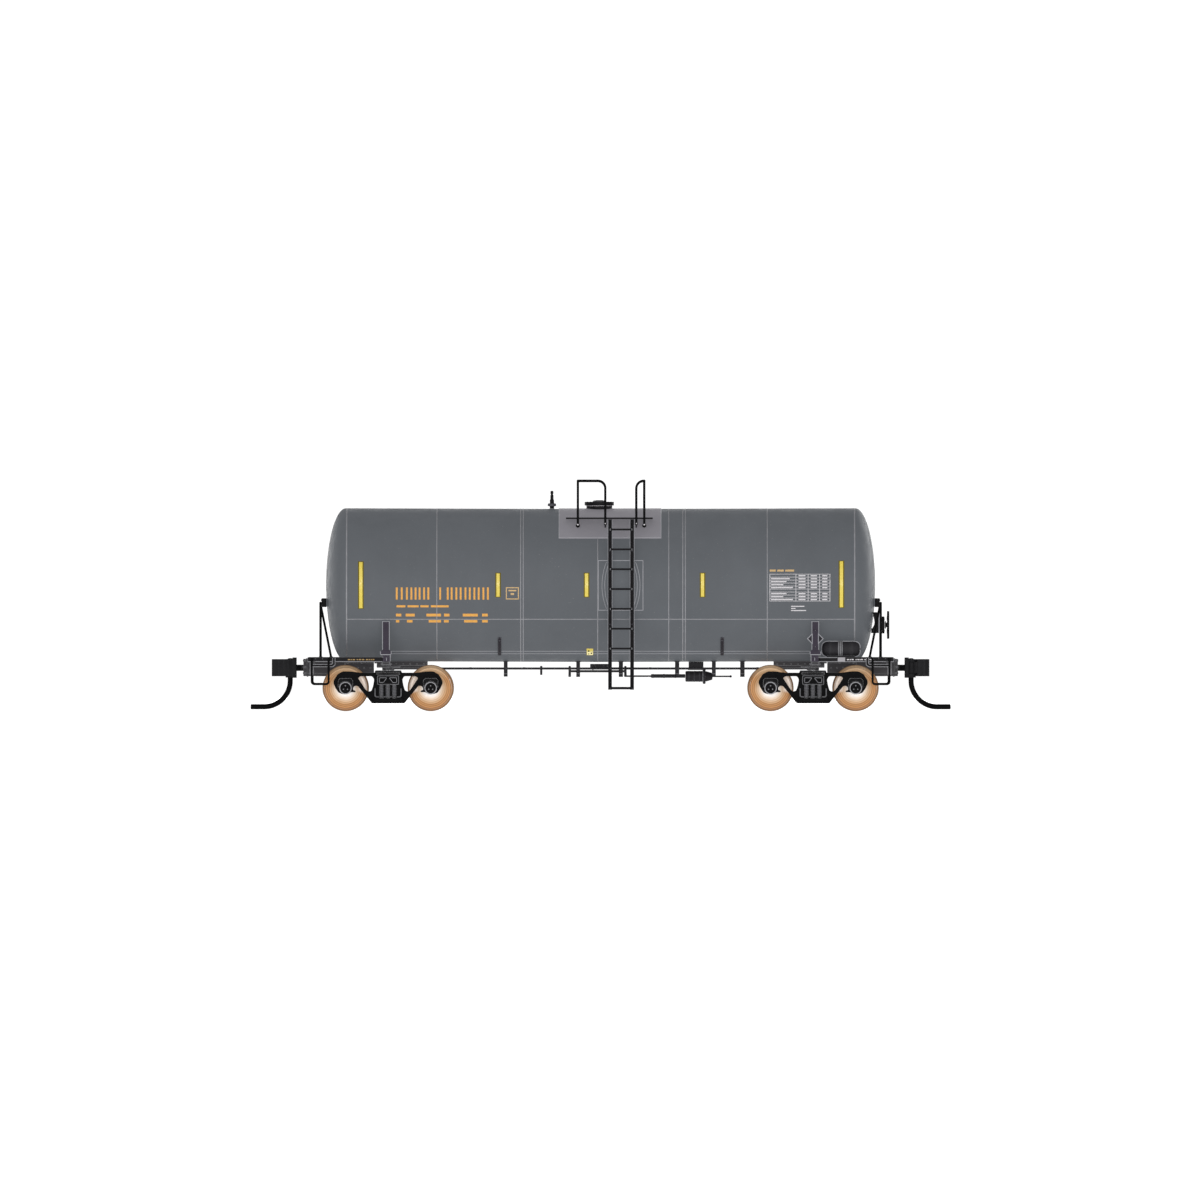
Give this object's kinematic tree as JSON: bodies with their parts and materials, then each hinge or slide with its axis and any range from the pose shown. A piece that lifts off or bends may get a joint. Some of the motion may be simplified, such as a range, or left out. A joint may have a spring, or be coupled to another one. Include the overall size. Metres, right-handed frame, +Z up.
{
  "type": "model tank wagon",
  "caption": "Small-scale model tank wagon: dished cylindrical tank on two swivelling bogies, with ladders, top platform and railings, brake gear and knuckle couplers.",
  "frame": {"origin": "under the middle of the wagon, on the plane its wheel flanges touch when it stands on a table", "axes": "+X along the wagon towards the end with the hand brake wheel, +Y across it towards the side away from the air reservoir, +Z up"},
  "size_m": [0.0914, 0.0216, 0.0302],
  "materials": {
    "tank_grey": "satin grey paint on moulded plastic",
    "crown_grey": "satin lighter grey",
    "fitting_black": "satin black moulded plastic",
    "frame_black": "satin charcoal moulded plastic",
    "truck_black": "satin black acetal",
    "coupler_black": "satin black acetal",
    "wheel_bronze": "turned, tan-bronze",
    "axle_steel": "turned steel",
    "wire_black": "black painted wire",
    "steel": "plain steel"
  },
  "bodies": {
    "wagon_body": {"tank_upper_shell": "tank_grey", "tank_lower_shell": "tank_grey", "tank_head_a": "tank_grey", "tank_head_b": "tank_grey", "ballast_weight": "steel", "crown_sheet": "crown_grey", "manway_neck": "fitting_black", "manway_cover": "fitting_black", "safety_valve": "fitting_black", "platform_near": "fitting_black", "platform_far": "fitting_black", "ladder_near": "fitting_black", "ladder_far": "fitting_black", "brake_stand": "fitting_black", "train_line": "fitting_black", "brake_rod": "fitting_black", "brake_valve": "fitting_black", "brake_cylinder": "fitting_black", "placard_near": "fitting_black", "placard_far": "fitting_black", "safety_rail_a": "wire_black", "safety_rail_b": "wire_black", "underframe_a": "frame_black", "coupler_box_lid_a": "frame_black", "lid_screw_a": "steel", "truck_screw_a": "steel", "centring_spring_a": "steel", "stirrup_a_near": "wire_black", "stirrup_a_far": "wire_black", "end_handrail_a": "wire_black", "underframe_b": "frame_black", "coupler_box_lid_b": "frame_black", "lid_screw_b": "steel", "truck_screw_b": "steel", "centring_spring_b": "steel", "stirrup_b_near": "wire_black", "stirrup_b_far": "wire_black", "end_handrail_b": "wire_black", "air_reservoir": "frame_black"},
    "truck_a": {"truck_frame_a": "truck_black"},
    "coupler_a": {"coupler_body_a": "coupler_black", "trip_pin_a": "wire_black"},
    "knuckle_a": {"coupler_knuckle_a": "coupler_black"},
    "truck_b": {"truck_frame_b": "truck_black"},
    "coupler_b": {"coupler_body_b": "coupler_black", "trip_pin_b": "wire_black"},
    "knuckle_b": {"coupler_knuckle_b": "coupler_black"},
    "wheelset_1": {"axle_1": "axle_steel", "wheel_1_near": "wheel_bronze", "wheel_1_far": "wheel_bronze"},
    "wheelset_2": {"axle_2": "axle_steel", "wheel_2_near": "wheel_bronze", "wheel_2_far": "wheel_bronze"},
    "wheelset_3": {"axle_3": "axle_steel", "wheel_3_near": "wheel_bronze", "wheel_3_far": "wheel_bronze"},
    "wheelset_4": {"axle_4": "axle_steel", "wheel_4_near": "wheel_bronze", "wheel_4_far": "wheel_bronze"},
    "hand_brake_wheel": {"brake_wheel": "fitting_black"}
  },
  "joints": [
    {"name": "truck_a_swivel", "type": "hinge", "parent": "wagon_body", "child": "truck_a", "pos_m": [-0.02775, 0, 0.0053], "axis": [0, 0, 1], "range_deg": [-10, 10]},
    {"name": "truck_b_swivel", "type": "hinge", "parent": "wagon_body", "child": "truck_b", "pos_m": [0.02775, 0, 0.0053], "axis": [0, 0, 1], "range_deg": [-10, 10]},
    {"name": "wheelset_1_roll", "type": "hinge", "parent": "truck_a", "child": "wheelset_1", "pos_m": [-0.03331, 0, 0.00301], "axis": [0, 1, 0], "continuous": true},
    {"name": "wheelset_2_roll", "type": "hinge", "parent": "truck_a", "child": "wheelset_2", "pos_m": [-0.02219, 0, 0.00301], "axis": [0, 1, 0], "continuous": true},
    {"name": "wheelset_3_roll", "type": "hinge", "parent": "truck_b", "child": "wheelset_3", "pos_m": [0.02219, 0, 0.00301], "axis": [0, 1, 0], "continuous": true},
    {"name": "wheelset_4_roll", "type": "hinge", "parent": "truck_b", "child": "wheelset_4", "pos_m": [0.03331, 0, 0.00301], "axis": [0, 1, 0], "continuous": true},
    {"name": "coupler_a_swing", "type": "hinge", "parent": "wagon_body", "child": "coupler_a", "pos_m": [-0.0366, 0, 0.00555], "axis": [0, 0, 1], "range_deg": [-10, 10], "stiffness_Nm_per_rad": 0.000001},
    {"name": "knuckle_a_open", "type": "hinge", "parent": "coupler_a", "child": "knuckle_a", "pos_m": [-0.04057, 0.00095, 0.00567], "axis": [0, 0, -1], "range_deg": [0, 30], "stiffness_Nm_per_rad": 0.0000002},
    {"name": "coupler_b_swing", "type": "hinge", "parent": "wagon_body", "child": "coupler_b", "pos_m": [0.0366, 0, 0.00555], "axis": [0, 0, 1], "range_deg": [-10, 10], "stiffness_Nm_per_rad": 0.000001},
    {"name": "knuckle_b_open", "type": "hinge", "parent": "coupler_b", "child": "knuckle_b", "pos_m": [0.04057, -0.00095, 0.00567], "axis": [0, 0, -1], "range_deg": [0, 30], "stiffness_Nm_per_rad": 0.0000002},
    {"name": "hand_brake_turn", "type": "hinge", "parent": "wagon_body", "child": "hand_brake_wheel", "pos_m": [0.03756, -0.00345, 0.01126], "axis": [1, 0, 0], "continuous": true}
  ]
}
